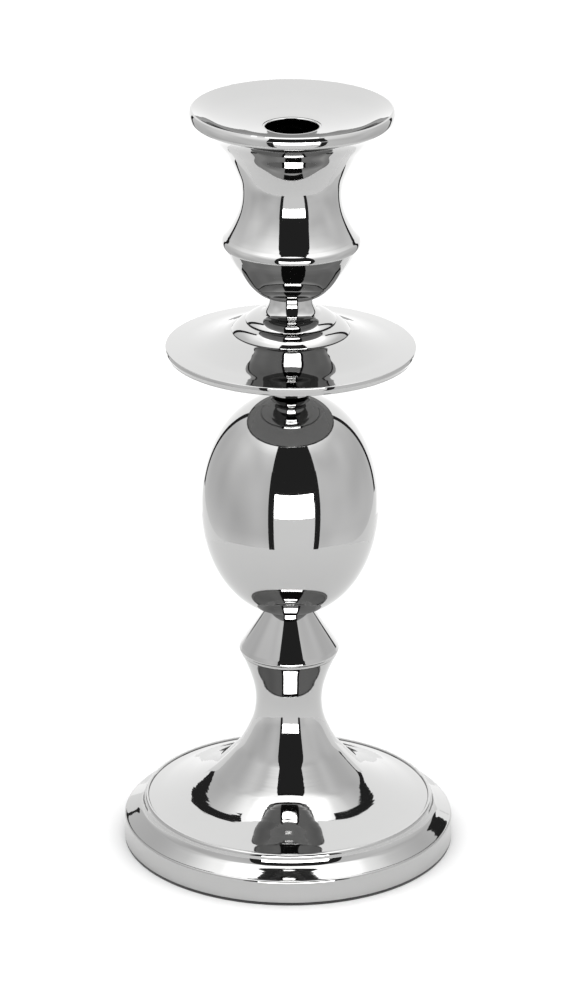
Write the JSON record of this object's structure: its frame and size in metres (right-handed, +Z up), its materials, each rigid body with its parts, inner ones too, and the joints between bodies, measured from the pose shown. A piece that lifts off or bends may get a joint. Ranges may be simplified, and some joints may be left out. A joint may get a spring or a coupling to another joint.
{
  "type": "candlestick",
  "caption": "Polished metal candlestick: stepped round foot, waisted neck with conical knop, egg, wide drip pan and flared cup with a candle socket.",
  "frame": {"origin": "centre of the foot, on the surface that the candlestick stands on", "axes": "+Z up along the turning axis and out of the candle socket; +X and +Y are level, and the shape is the same all round"},
  "size_m": [0.145, 0.145, 0.3354],
  "materials": {
    "chrome": "mirror polished plating over spun metal, with faint turning waves",
    "steel": "plain zinc-grey hardware",
    "iron": "rough as-cast",
    "felt": "short black felt"
  },
  "bodies": {
    "root": {"felt_pad": "felt", "base_plate": "steel", "base_weight": "iron", "base_rim": "chrome", "base_shell": "chrome", "knop_cone": "chrome", "egg_lower_shell": "chrome", "egg_upper_shell": "chrome", "pan_collar": "chrome", "drip_pan": "chrome", "lower_step": "chrome", "cup_flange": "chrome", "cup_bowl": "chrome", "cup_trumpet": "chrome", "cup_dish": "chrome", "candle_socket": "chrome", "top_washer": "steel", "top_nut": "steel", "lower_washer": "steel", "lower_nut": "steel", "tie_rod": "steel"}
  },
  "joints": []
}
